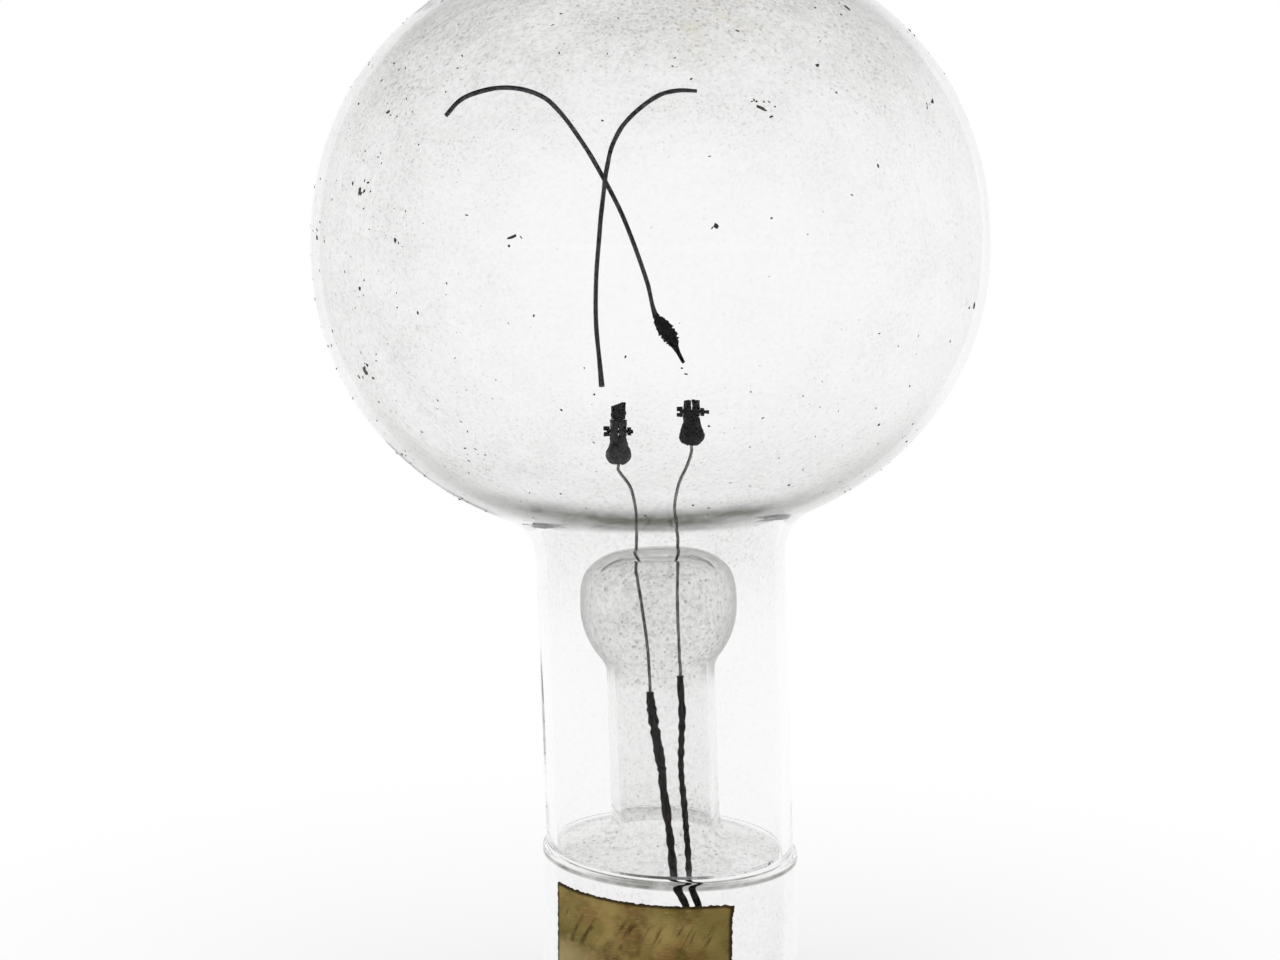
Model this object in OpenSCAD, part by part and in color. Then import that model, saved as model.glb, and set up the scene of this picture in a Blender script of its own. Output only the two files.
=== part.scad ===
// A dead early filament lamp: a blown glass globe and neck on a short open glass
// skirt, a re-entrant glass stem, two sealed lead wires with tiny screw clamps, and
// the two broken lengths of the burnt-out filament lying against the globe's far wall.
// Millimetres, +Z up. The origin is on the table, under the middle of the globe.

/* [Skirt] */
// Outside diameter of the open skirt at the foot
skirt_d = 32; // [26:0.5:40]
// Height of the skirt, from its rim up to the seal
skirt_h = 24; // [22:0.5:40]
// Wall of the skirt
skirt_wall = 1.6; // [1.2:0.1:2]
// Height of the shoulder, where a wider or narrower skirt runs into the neck
shoulder_h = 1.6; // [1.2:0.1:1.7]
// Radius of the fire-polished edges of the rim
rim_round = 0.4; // [0.2:0.05:0.55]
// Tilt of the hand-made seal, right side low, in degrees
seal_tilt = 2.1; // [0:0.1:3]

/* [Neck and globe] */
// Outside diameter of the neck
neck_d = 31; // [25:0.5:39]
// Wall of the neck
neck_wall = 1.3; // [1:0.1:1.8]
// Outside diameter of the globe at its widest
globe_d = 82.7; // [66:0.1:100]
// Height from the seal up to the widest plane
globe_mid = 74.9; // [70:0.1:95]
// Height of the globe above its widest plane
globe_rise = 37.4; // [30:0.1:46]
// Depth of the globe below its widest plane
globe_drop = 36.3; // [30:0.1:44]
// Power of the globe's oval: 2 is an ellipse, more is fuller
globe_power = 2.12; // [2:0.01:2.5]
// Wall of the globe
globe_wall = 1; // [0.7:0.1:1.5]
// Length of the soft bend where the neck opens into the globe
mouth_bend = 4.5; // [2:0.5:6]
// Lean of the upper glass towards the left, in degrees
lean = 1.9; // [0:0.1:2.5]
// Height of the exhaust tip on the crown
tip_h = 4; // [2:0.5:6]
// Radius of the exhaust tip where it leaves the crown
tip_foot_r = 3; // [2:0.25:5]
// Radius of the exhaust tip's drawn-off end
tip_end_r = 0.9; // [0.5:0.1:1.2]

/* [Stem] */
// Sideways offset of the stem inside the neck
stem_x = -0.45; // [-0.6:0.05:0.6]
// Outside diameter of the stem tube
stem_d = 13.6; // [11.5:0.1:15]
// Wall of the stem tube
stem_wall = 1.1; // [0.8:0.1:1.4]
// Diameter of the bulged head
head_d = 19.6; // [18:0.1:23]
// Height from the seal up to the widest part of the head
head_mid = 30.6; // [28:0.1:36]
// Height of the head above its widest part
head_rise = 7.8; // [5:0.1:8.5]
// Depth of the oval that forms the underside of the head
head_drop = 10; // [8:0.1:12]
// Power of the head's dome: 2 is an ellipse, more is flatter on top
head_power = 2.7; // [2:0.1:3]
// Glass over the hollow of the head, which the wires pass through
head_top_wall = 1.6; // [1.2:0.1:2.2]
// Height at which the stem begins to flare out
flare_h = 4; // [3:0.5:9]
// Height of the flare's upper face where it meets the neck
flare_edge = 1.5; // [0.8:0.1:1.8]

/* [Leads] */
// Diameter of the sealed platinum wires
platinum_d = 0.4; // [0.3:0.05:0.5]
// Diameter of the left copper lead
left_copper_d = 1.1; // [0.8:0.05:1.4]
// Diameter of the right copper lead
right_copper_d = 0.95; // [0.8:0.05:1.4]
// Thickness of the left soldered joint at its lumps
left_joint_d = 1.45; // [1.1:0.05:1.8]
// Thickness of the right soldered joint at its lumps
right_joint_d = 1.05; // [0.9:0.05:1.5]
// Height of the bare lower ends above the rim
lead_end_h = 3; // [2:0.5:8]

/* [Clamps] */
// Largest diameter of a clamp's pear-shaped body
clamp_d = 3.25; // [2.8:0.05:4]
// Diameter across the two jaws
jaw_d = 2.1; // [1.9:0.05:2.5]
// Height of the waist between body and jaws
waist_h = 3.3; // [2.8:0.1:4]
// Height of the jaws' top
jaw_top = 5.7; // [5.4:0.1:6.5]
// Width of the slit between the jaws
jaw_slit = 0.14; // [0.1:0.02:0.3]
// Diameter of the cross screw
screw_d = 0.5; // [0.4:0.05:0.6]
// Diameter of the screw's head
screw_head_d = 1.3; // [1:0.05:1.5]
// Thickness of the screw's head
screw_head_t = 0.75; // [0.5:0.05:0.9]
// Height of the cross screw above the foot of the clamp
screw_h = 4.25; // [4:0.05:4.5]
// Width of the nut across its corners
nut_d = 1.05; // [0.9:0.05:1.3]
// Thickness of the nut
nut_t = 0.5; // [0.4:0.05:0.7]
// How far the left and the right screw reach past their nuts
screw_tips = [0.25, 0.6]; // [0.1:0.05:0.8]
// Depth that a wire goes up into its clamp
wire_grip = 1.2; // [0.8:0.1:1.6]

/* [Filament] */
// Diameter of the socket in the jaws and of the carbon stub's foot
stub_foot_d = 1.3; // [1:0.05:1.4]
// Diameter of the thickened carbon stub
stub_d = 1.85; // [1.5:0.05:2]
// Height of the broken stub above the jaws
stub_h = 2.2; // [1:0.1:3]
// Slope of the broken top of the stub, in degrees
stub_slope = 18; // [0:1:30]
// Thickness of the carbon filament
filament_d = 0.65; // [0.4:0.05:0.8]
// Width of the thickened tab at the end of the long fragment
tab_w = 2.3; // [1.5:0.1:2.8]

/* [Label] */
// Width of the paper label round the skirt
label_w = 23.5; // [18:0.5:30]
// Height of the paper label
label_h = 17; // [10:0.5:18]
// Distance from the seal down to the label's top edge
label_drop = 2.6; // [1.5:0.1:3]
// Thickness of the label
label_t = 0.2; // [0.1:0.05:0.3]
// Where the label begins, in degrees left of the front
label_start = 58; // [50:1:80]

/* [Clearances] */
// Gap between glass pieces that are fused, and round a sealed wire
glass_gap = 0.03; // [0.02:0.01:0.05]
// Gap between the small metal pieces
metal_gap = 0.04; // [0.03:0.01:0.06]
// Gap between a fragment and the glass that it lies on
rest_gap = 0.12; // [0.08:0.02:0.3]

/* [Hidden] */
$fn = 96;

// Radii that the pieces share
skirt_r = skirt_d / 2;
skirt_bore = skirt_r - skirt_wall;
neck_r = neck_d / 2;
neck_bore = neck_r - neck_wall;
globe_r = globe_d / 2;
stem_r = stem_d / 2;
stem_bore = stem_r - stem_wall;
head_r = head_d / 2;
wire_bore = platinum_d + 2 * glass_gap;
// The top of the skirt covers the neck's edge and stands out by half a wall at most
shoulder_r = max(neck_r, min(skirt_r, neck_r + skirt_wall / 2));
shoulder_top = skirt_h - shoulder_r * tan(seal_tilt);

// The lean carries the globe to the left, so the skirt stands to the right of the origin
skirt_x = globe_mid * sin(lean);
// How far a hidden end runs past the face that it meets
overrun = 1.5;
// Larger than the whole lamp, for cutting planes
beyond = 2 * (globe_mid + globe_d);
// Steps along a quarter of an oval, and along a short bend
oval_steps = 16;
bend_steps = 6;
// Sides of a wire, and rings between two of its points
wire_sides = 8;
wire_rings = 3;
// Flare of the stem, wide enough to meet the neck all round
flare_r = neck_bore + abs(stem_x) + 1;

// Clamps: widest point of the pear, ledge under the loose jaw, and depth of the socket
belly_h = 1.35;
ledge_h = waist_h + 0.35;
socket_depth = jaw_top - screw_h - screw_d / 2 - 0.15;
jaw_r = jaw_d / 2;

// Routes are [x, height above the seal, thickness], from the top down. A wire is upright
// where it enters a clamp, where it passes through the head and where it is joined.
straight = 0.6;
left_clamp = [-6.45, 47.8];
right_clamp = [2.65, 50.2];
left_seal_x = -4.25;
right_seal_x = 0.9;
head_top = head_mid + head_rise;
left_splice = [-2.5, 19.4];
right_splice = [1.25, 21.6];
left_tail = [-0.95, 8.6];
right_tail = [1.5, 16.6];

function through_head(x) = [
    [x, head_top + 1.4, platinum_d],
    [x, head_top + 0.4, platinum_d],
    [x, head_top - head_top_wall - 0.8, platinum_d],
    [x, head_top - head_top_wall - 1.8, platinum_d]
];
function into_clamp(at) = [
    [at[0], at[1] + wire_grip - metal_gap, platinum_d],
    [at[0], at[1], platinum_d],
    [at[0], at[1] - straight, platinum_d]
];
function upright_end(at, d) = [for (up = [straight, straight / 2, 0]) [at[0], at[1] + up, d]];
function upright_start(at, d) = [for (down = [0, straight / 2, straight]) [at[0], at[1] - down, d]];

left_platinum_route = concat(
    into_clamp(left_clamp), [[-4.9, 44.9, platinum_d], [-4.3, 42, platinum_d]],
    through_head(left_seal_x), [[-3.5, 30, platinum_d], [-2.8, 24.5, platinum_d]],
    upright_end(left_splice, platinum_d));
right_platinum_route = concat(
    into_clamp(right_clamp), [[2.1, 47.8, platinum_d], [1, 45.2, platinum_d], [0.6, 42.5, platinum_d]],
    through_head(right_seal_x), [[0.9, 30, platinum_d], [1.1, 25.5, platinum_d]],
    upright_end(right_splice, platinum_d));
left_joint_route = concat(
    upright_start(left_splice, left_copper_d),
    [[-2.2, 16.5, left_joint_d], [-1.7, 13.5, left_joint_d - 0.2], [-1.2, 10.6, left_joint_d]],
    upright_end(left_tail, left_copper_d));
right_joint_route = concat(
    upright_start(right_splice, right_copper_d),
    [[1.35, 19.2, right_joint_d], [1.45, 18, right_joint_d - 0.15]],
    upright_end(right_tail, right_copper_d));
left_copper_route = concat(
    upright_start(left_tail, left_copper_d),
    [[-0.6, 5.5, left_copper_d], [0, 1, left_copper_d - 0.1], [0.5, -3.4, left_copper_d],
     [0.9, -5.6, left_copper_d], [2, -7.8, left_copper_d - 0.1], [2.7, -11.5, left_copper_d]],
    upright_end([3, lead_end_h - skirt_h], left_copper_d));
right_copper_route = concat(
    upright_start(right_tail, right_copper_d),
    [[1.4, 13, right_copper_d], [1.4, 9.5, right_copper_d - 0.1], [1.8, 5, right_copper_d],
     [2.2, 0, right_copper_d - 0.1], [2.6, -5.2, right_copper_d], [3.6, -7.8, right_copper_d],
     [4.4, -11.5, right_copper_d - 0.1]],
    upright_end([4.8, lead_end_h - skirt_h], right_copper_d));

// Fragments are [x from the globe's axis, height above its widest plane, width over the
// plain thickness, lift off the wall]. The short one crosses over the long one.
over = filament_d + rest_gap;
tab_swell = tab_w - filament_d;
long_route = [
    [-27, 19.5, -0.05, 0], [-25, 21.5, 0, 0], [-22.5, 22.75, 0, 0], [-19.5, 23.5, 0, 0],
    [-16, 23.25, 0, 0], [-13, 21.75, 0, 0], [-9, 16.5, 0, 0], [-6.2, 11.5, 0, 0],
    [-3.4, 5.5, 0, 0], [-0.4, -3.5, 0, 0], [0.6, -8.2, 0.15, 0], [1.9, -10.4, tab_swell, 0],
    [2.9, -12, 0.8 * tab_swell, 0], [3.6, -13.6, 0.15, 0], [4.5, -15.5, -0.15, 0]
];
short_route = [
    [7.5, 22.9, -0.15, 0], [5, 23.1, -0.05, 0], [2.4, 22.7, 0, 0], [-0.2, 21.3, 0, 0],
    [-2.9, 19, 0, 0.1], [-4.7, 16.2, 0, 0.5 * over], [-5.7, 12.8, 0, over],
    [-6.2, 10, 0, over], [-7, 4.5, 0, 0.3 * over], [-7.8, -3, 0, 0],
    [-8, -9.2, 0, 0], [-7.6, -15.5, 0.05, 0], [-7.4, -18.5, 0.2, 0]
];

// Curves

// Point on a soft bend that leaves a towards b and arrives at c from b
function bend(a, b, c, t) = (1 - t) * (1 - t) * a + 2 * t * (1 - t) * b + t * t * c;
function bend_points(a, b, c) = [for (i = [0:bend_steps]) bend(a, b, c, i / bend_steps)];
// Height and radius of an oval with half width a and half height b
function oval_h(r, a, b, power) = b * pow(1 - pow(r / a, power), 1 / power);
function oval_r(h, a, b, power) = a * pow(max(0, 1 - pow(abs(h) / b, power)), 1 / power);
// Angle at which an oval has radius r, and its points between two such angles
function oval_angle(r, a, power) = acos(pow(r / a, power / 2));
function oval_points(a, b, power, from, to, mid) = [
    for (i = [0:oval_steps])
        let (t = from + (to - from) * i / oval_steps)
        [a * pow(cos(t), 2 / power), mid + b * sign(sin(t)) * pow(abs(sin(t)), 2 / power)]
];
// Quarter round of radius r about a centre
function round_points(x, z, r, from, to) = [
    for (i = [0:bend_steps]) let (t = from + (to - from) * i / bend_steps) [x + r * cos(t), z + r * sin(t)]
];
// Half outline of the neck and globe from the mouth's bend to radius top_r on the crown
function globe_outline(tube_r, inset, top_r) =
    let (a = globe_r - inset, rise = globe_rise - inset, drop = globe_drop - inset,
         corner = globe_mid - oval_h(tube_r, a, drop, globe_power),
         foot_r = tube_r + mouth_bend,
         foot = globe_mid - oval_h(foot_r, a, drop, globe_power))
    concat(
        bend_points([tube_r, corner - mouth_bend], [tube_r, corner], [foot_r, foot]),
        [for (p = oval_points(a, drop, globe_power, -oval_angle(foot_r, a, globe_power), 0, globe_mid))
            if (p[0] > foot_r + 0.1) p],
        [for (p = oval_points(a, rise, globe_power, 0, oval_angle(top_r, a, globe_power), globe_mid))
            if (p[0] < a - 0.01) p]);
// A smooth line from b to c, which passes each of them along the line between its neighbours
function through(a, b, c, d, t) =
    let (reach = norm(c - b), leave = reach * unit(c - a), arrive = reach * unit(d - b), s = 1 - t)
    (1 + 2 * t) * s * s * b + t * s * s * leave + t * t * (3 - 2 * t) * c - t * t * s * arrive;
function smooth(route) = concat(
    [for (i = [0:len(route) - 2], k = [0:wire_rings - 1])
        through(route[max(i - 1, 0)], route[i], route[i + 1],
                route[min(i + 2, len(route) - 1)], k / wire_rings)],
    [route[len(route) - 1]]);
function unit(v) = v / norm(v);

// Frames

// Upright frame at the middle of the seal
module on_seal() translate([skirt_x, 0, skirt_h]) children();
// Leaning frame of the upper glass
module upper() on_seal() rotate([0, -lean, 0]) children();
// Everything below the tilted plane of the seal, or below a plane a little lower
module under_seal(down = 0)
    on_seal() rotate([0, seal_tilt, 0]) translate([-beyond / 2, -beyond / 2, -beyond - down]) cube(beyond);

// A bar swept along points [x, y, z, width, thickness], its thickness facing front to back
module bar(points) {
    last = len(points) - 1;
    rings = [for (i = [0:last])
        let (p = points[i], a = points[max(i - 1, 0)], b = points[min(i + 1, last)],
             dir = unit([b[0] - a[0], b[1] - a[1], b[2] - a[2]]),
             side = unit(cross([0, 1, 0], dir)),
             out = cross(dir, side))
        for (k = [0:wire_sides - 1])
            let (t = 360 * k / wire_sides)
            [p[0], p[1], p[2]] + side * cos(t) * p[3] / 2 + out * sin(t) * p[4] / 2];
    skin = [for (i = [0:last - 1], k = [0:wire_sides - 1])
        let (a = i * wire_sides + k, b = i * wire_sides + (k + 1) % wire_sides)
        each [[a, b, b + wire_sides], [a, b + wire_sides, a + wire_sides]]];
    ends = [[for (k = [wire_sides - 1:-1:0]) k], [for (k = [0:wire_sides - 1]) last * wire_sides + k]];
    polyhedron(points = rings, faces = concat(skin, ends), convexity = 10);
}
// A round wire in the plane of the leads
module wire(route) on_seal() bar([for (p = smooth(route)) [p[0], 0, p[1], p[2], p[2]]]);
// A filament that lies against the far wall of the globe
module lying(route)
    upper() bar([for (p = smooth(route))
        let (inset = globe_wall + rest_gap + filament_d / 2 + p[3],
             b = (p[1] > 0 ? globe_rise : globe_drop) - inset,
             r = oval_r(p[1], globe_r - inset, b, globe_power))
        [p[0], sqrt(r * r - p[0] * p[0]), globe_mid + p[1], filament_d + p[2], filament_d + min(p[2], 0)]]);
// Upright holes for the two wires through the head of the stem
module wire_holes()
    for (x = [left_seal_x, right_seal_x])
        on_seal() translate([x, 0, head_top - head_top_wall - overrun])
            cylinder(d = wire_bore, h = head_top_wall + 2 * overrun, $fn = 32);

// Glass

// Outline up the skirt, over its shoulder and past the seal
function shoulder_points(skirt, neck) =
    [[skirt, skirt_h - shoulder_h], [neck, shoulder_top], [neck, skirt_h + overrun]];
module skirt_body()
    intersection() {
        translate([skirt_x, 0, 0]) rotate_extrude() polygon(concat(
            [[0, 0]], round_points(skirt_r - rim_round, rim_round, rim_round, -90, 0),
            shoulder_points(skirt_r, shoulder_r), [[0, skirt_h + overrun]]));
        under_seal();
    }
module skirt_hollow()
    intersection() {
        translate([skirt_x, 0, 0]) rotate_extrude() polygon(concat(
            [[0, -overrun], [skirt_bore + rim_round, -overrun]],
            round_points(skirt_bore + rim_round, rim_round, rim_round, -90, -180),
            shoulder_points(skirt_bore, shoulder_r - skirt_wall), [[0, skirt_h + overrun]]));
        under_seal();
    }
module globe_body() {
    crown = globe_mid + globe_rise;
    tip_foot = globe_mid + oval_h(tip_foot_r, globe_r, globe_rise, globe_power);
    upper() rotate_extrude() polygon(concat(
        [[0, -overrun], [neck_r, -overrun]], globe_outline(neck_r, 0, tip_foot_r),
        [for (p = bend_points([tip_foot_r, tip_foot], [tip_end_r, crown], [tip_end_r, crown + tip_h - tip_end_r]))
            if (p[0] < tip_foot_r - 0.01) p],
        [for (p = round_points(0, crown + tip_h - tip_end_r, tip_end_r, 0, 90)) if (p[0] < tip_end_r - 0.01) p]));
}
module globe_hollow()
    upper() rotate_extrude() polygon(concat(
        [[0, -overrun], [neck_bore, -overrun]], globe_outline(neck_bore, globe_wall, 0)));

module glass_envelope()
    color([0.86, 0.88, 0.86, 0.35]) difference() {
        union() {
            skirt_body();
            globe_body();
        }
        union() {
            skirt_hollow();
            globe_hollow();
        }
    }

// Half section of the stem, from the crown of the head round the flare and back inside
function stem_section() =
    let (under = head_mid - oval_h(stem_r, head_r, head_drop, 2),
         under_r = stem_r + 1,
         hollow_r = head_r - stem_wall,
         hollow_drop = head_drop - stem_wall,
         inside = head_mid - oval_h(stem_bore, hollow_r, hollow_drop, 2),
         inside_r = stem_bore + 1)
    concat(
        oval_points(head_r, head_rise, head_power, 90, 0, head_mid),
        [for (p = oval_points(head_r, head_drop, 2, 0, -oval_angle(under_r, head_r, 2), head_mid))
            if (p[0] < head_r - 0.01) p],
        [for (p = bend_points([under_r, head_mid - oval_h(under_r, head_r, head_drop, 2)],
                              [stem_r, under], [stem_r, under - 1])) if (p[0] < under_r - 0.01) p],
        bend_points([stem_r, flare_h], [stem_r + 1, flare_h * 0.4], [flare_r, flare_edge]),
        bend_points([flare_r, -flare_edge], [stem_r, flare_h * 0.2], [stem_bore, flare_h - flare_edge]),
        [for (p = bend_points([stem_bore, inside - 1], [stem_bore, inside],
                              [inside_r, head_mid - oval_h(inside_r, hollow_r, hollow_drop, 2)]))
            if (p[0] < inside_r - 0.01) p],
        [for (p = oval_points(hollow_r, hollow_drop, 2, -oval_angle(inside_r, hollow_r, 2), 0, head_mid))
            if (p[0] < hollow_r - 0.01) p],
        oval_points(hollow_r, head_rise - head_top_wall, head_power, 0, 90, head_mid));

module stem_tube()
    color([0.8, 0.82, 0.8, 0.4]) difference() {
        intersection() {
            upper() translate([stem_x, 0, 0]) rotate_extrude() polygon(stem_section());
            upper() translate([0, 0, -flare_r]) cylinder(r = neck_bore - glass_gap, h = globe_mid);
        }
        wire_holes();
        under_seal();
    }

// Leads

module left_platinum_lead() color([0.55, 0.55, 0.54]) wire(left_platinum_route);
module right_platinum_lead() color([0.5, 0.5, 0.48]) wire(right_platinum_route);
module left_lead_joint() color([0.2, 0.17, 0.15]) wire(left_joint_route);
module right_lead_joint() color([0.2, 0.17, 0.15]) wire(right_joint_route);
module left_copper_lead() color([0.17, 0.12, 0.1]) wire(left_copper_route);
module right_copper_lead() color([0.17, 0.12, 0.1]) wire(right_copper_route);

// Clamps, each drawn about the middle of its foot with its screw along X

module pear() {
    belly_r = clamp_d / 2;
    rotate_extrude($fn = 48) polygon(concat(
        [for (i = [0:bend_steps]) let (t = -90 + 90 * i / bend_steps)
            [belly_r * cos(t), belly_h + belly_h * sin(t)]],
        [for (i = [1:bend_steps]) let (t = i / bend_steps)
            [jaw_r + (belly_r - jaw_r) * (1 + cos(180 * t)) / 2, belly_h + (waist_h - belly_h) * t]],
        [[0, waist_h]]));
}
module screw_space(d) translate([0, 0, screw_h]) rotate([0, 90, 0]) cylinder(d = d, h = 3 * clamp_d, center = true);
module jaw_round(foot) translate([0, 0, foot]) cylinder(r = jaw_r, h = jaw_top - foot, $fn = 48);
module jaw_cuts() {
    screw_space(screw_d + 2 * metal_gap);
    translate([0, 0, jaw_top - socket_depth]) cylinder(d = stub_foot_d, h = socket_depth + 1);
}
// Everything right of the slit, above the ledge
module loose_side() translate([-jaw_slit / 2, -clamp_d, ledge_h]) cube([clamp_d, 2 * clamp_d, jaw_top]);

module clamp_body() difference() {
    union() {
        pear();
        jaw_round(waist_h);
    }
    loose_side();
    jaw_cuts();
    translate([0, 0, -1]) cylinder(d = platinum_d + 2 * metal_gap, h = wire_grip + 1, $fn = 32);
    cube([2 * platinum_d, 2 * clamp_d, platinum_d], center = true);
}
module clamp_jaw() difference() {
    jaw_round(ledge_h + metal_gap);
    translate([-2 * clamp_d + jaw_slit / 2, -clamp_d, 0]) cube([2 * clamp_d, 2 * clamp_d, 2 * jaw_top]);
    jaw_cuts();
}
module clamp_screw(tip) translate([0, 0, screw_h]) rotate([0, 90, 0]) difference() {
    union() {
        translate([0, 0, -jaw_r - metal_gap - screw_head_t]) cylinder(d = screw_head_d, h = screw_head_t, $fn = 48);
        translate([0, 0, -jaw_r - metal_gap - screw_head_t / 2])
            cylinder(d = screw_d, h = screw_head_t / 2 + 2 * (jaw_r + metal_gap) + nut_t + tip, $fn = 48);
    }
    translate([0, 0, -jaw_r - metal_gap - screw_head_t])
        cube([screw_d / 2, 2 * screw_head_d, screw_head_t], center = true);
}
module clamp_nut() translate([jaw_r + metal_gap, 0, screw_h]) rotate([0, 90, 0]) difference() {
    cylinder(d = nut_d, h = nut_t, $fn = 6);
    translate([0, 0, -1]) cylinder(d = screw_d + 2 * metal_gap, h = nut_t + 2, $fn = 48);
}
module at_left() on_seal() translate([left_clamp[0], 0, left_clamp[1]]) children();
module at_right() on_seal() translate([right_clamp[0], 0, right_clamp[1]]) children();

module left_clamp_body() color([0.24, 0.24, 0.25]) at_left() clamp_body();
module left_clamp_jaw() color([0.22, 0.22, 0.23]) at_left() clamp_jaw();
module left_clamp_screw() color([0.15, 0.15, 0.16]) at_left() clamp_screw(screw_tips[0]);
module left_clamp_nut() color([0.15, 0.15, 0.16]) at_left() clamp_nut();
module right_clamp_body() color([0.12, 0.12, 0.13]) at_right() clamp_body();
module right_clamp_jaw() color([0.11, 0.11, 0.12]) at_right() clamp_jaw();
module right_clamp_screw() color([0.1, 0.1, 0.11]) at_right() clamp_screw(screw_tips[1]);
module right_clamp_nut() color([0.1, 0.1, 0.11]) at_right() clamp_nut();

// Filament

module left_filament_stub()
    color([0.09, 0.09, 0.1]) at_left() translate([0, 0, jaw_top]) difference() {
        union() {
            translate([0, 0, metal_gap]) cylinder(d = stub_d, h = stub_h, $fn = 48);
            translate([0, 0, metal_gap - socket_depth])
                cylinder(d = stub_foot_d - 2 * metal_gap, h = socket_depth, $fn = 48);
        }
        translate([stub_d / 2, 0, stub_h]) rotate([0, -stub_slope, 0])
            translate([-2 * stub_d, -stub_d, 0]) cube([3 * stub_d, 2 * stub_d, stub_h]);
    }
module long_filament_fragment() color([0.28, 0.28, 0.29]) lying(long_route);
module short_filament_fragment() color([0.28, 0.28, 0.29]) lying(short_route);

// Label

module paper_label()
    color([0.47, 0.4, 0.24]) difference() {
        intersection() {
            translate([skirt_x, 0, 0]) rotate([0, 0, 270 - label_start])
                rotate_extrude(angle = label_w / skirt_r * 180 / PI)
                    translate([skirt_r + glass_gap, 0]) square([label_t, skirt_h]);
            under_seal(label_drop);
        }
        under_seal(label_drop + label_h);
    }

glass_envelope();
stem_tube();
left_platinum_lead();
right_platinum_lead();
left_lead_joint();
right_lead_joint();
left_copper_lead();
right_copper_lead();
left_clamp_body();
left_clamp_jaw();
left_clamp_screw();
left_clamp_nut();
right_clamp_body();
right_clamp_jaw();
right_clamp_screw();
right_clamp_nut();
left_filament_stub();
long_filament_fragment();
short_filament_fragment();
paper_label();
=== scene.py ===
# %% [markdown]
# # A dead filament lamp in clear blown glass
#
# The lamp is an early one: a wide clear globe on a straight neck, an inner glass stem that carries
# two wires, and an open glass skirt with a paper label. Its carbon filament has snapped, and the
# two long pieces cling to the far wall of the globe. Nothing on it moves.
#
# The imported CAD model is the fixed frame. Each of its nodes is replaced here by a finer mesh of the
# same size, and only the crumbs of dust stand for no node. All meshes are drawn in millimetres and
# scaled once.

# %% Load the frame
import math
import random

import bmesh
import bpy
from mathutils import Matrix, Vector, noise


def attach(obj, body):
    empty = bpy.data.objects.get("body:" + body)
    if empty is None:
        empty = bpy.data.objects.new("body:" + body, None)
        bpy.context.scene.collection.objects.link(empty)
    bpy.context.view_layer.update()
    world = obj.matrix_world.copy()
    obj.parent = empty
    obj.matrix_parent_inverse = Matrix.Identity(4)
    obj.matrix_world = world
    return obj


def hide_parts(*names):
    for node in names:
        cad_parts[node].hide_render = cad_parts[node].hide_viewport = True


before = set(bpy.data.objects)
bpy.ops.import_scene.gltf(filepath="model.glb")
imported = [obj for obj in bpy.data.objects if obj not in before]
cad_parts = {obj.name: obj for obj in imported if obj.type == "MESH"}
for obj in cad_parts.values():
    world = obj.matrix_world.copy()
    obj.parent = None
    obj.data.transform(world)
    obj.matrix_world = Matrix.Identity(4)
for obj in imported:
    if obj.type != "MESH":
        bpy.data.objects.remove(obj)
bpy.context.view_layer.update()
print("nodes:", len(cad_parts))

# %% [markdown]
# ## Sizes that the pieces share
#
# The skirt stands upright and everything above the seal leans a little to the left, as happens when
# a neck is joined by hand. The seal itself slopes the other way. A point of the upper glass is
# therefore given by its radius and its height above the seal, and then leaned.

# %% Sizes in millimetres
SKIRT_R, SKIRT_H, SKIRT_WALL, RIM = 16.0, 24.0, 1.6, 0.4
NECK_R, NECK_WALL = 15.5, 1.3
GLOBE_R, GLOBE_MID, GLOBE_RISE, GLOBE_DROP, GLOBE_POWER, GLOBE_WALL = 41.35, 74.9, 37.4, 36.3, 2.12, 1.0
STEM_R, STEM_BORE, STEM_ASIDE, FLARE_R = 6.8, 5.7, 0.45, NECK_R - NECK_WALL - 0.03
HEAD_R, HEAD_MID, HEAD_RISE, HEAD_DROP, HEAD_POWER, HEAD_WALL = 9.8, 30.6, 7.8, 10.0, 2.7, 1.1
HEAD_TOP = HEAD_MID + HEAD_RISE
LABEL_W, LABEL_H, LABEL_DROP, LABEL_START = 23.5, 17.0, 2.6, 58
LEAN, SLOPE = math.radians(1.9), math.radians(2.1)
SEAL = Vector((GLOBE_MID * math.sin(LEAN), 0, SKIRT_H))
UP = Matrix.Rotation(-LEAN, 3, "Y")


def leaned(x, y, height):
    """A point of the upper glass, from its place about the leaning axis."""
    return SEAL + UP @ Vector((x, y, height))


def along_seal(x, z):
    """Height above the seal's sloping plane; works on numbers and on values over a surface."""
    return z + x * math.tan(SLOPE) - SEAL.z - SEAL.x * math.tan(SLOPE)


def soft(low, high, value):
    """0 below low, 1 above high, and an easy curve between."""
    t = min(1, max(0, (value - low) / (high - low)))
    return t * t * (3 - 2 * t)


print("seal at", [round(v, 3) for v in SEAL], "glass leans", round(math.degrees(LEAN), 2), "degrees")

# %% [markdown]
# ## Arithmetic on a surface
#
# A finish needs sums on values that change over the surface, such as how much dust lies there. In
# Blender these are nodes. Wrapping a socket in a small class lets the sums be written as sums, and
# one method makes any other node.


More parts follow.
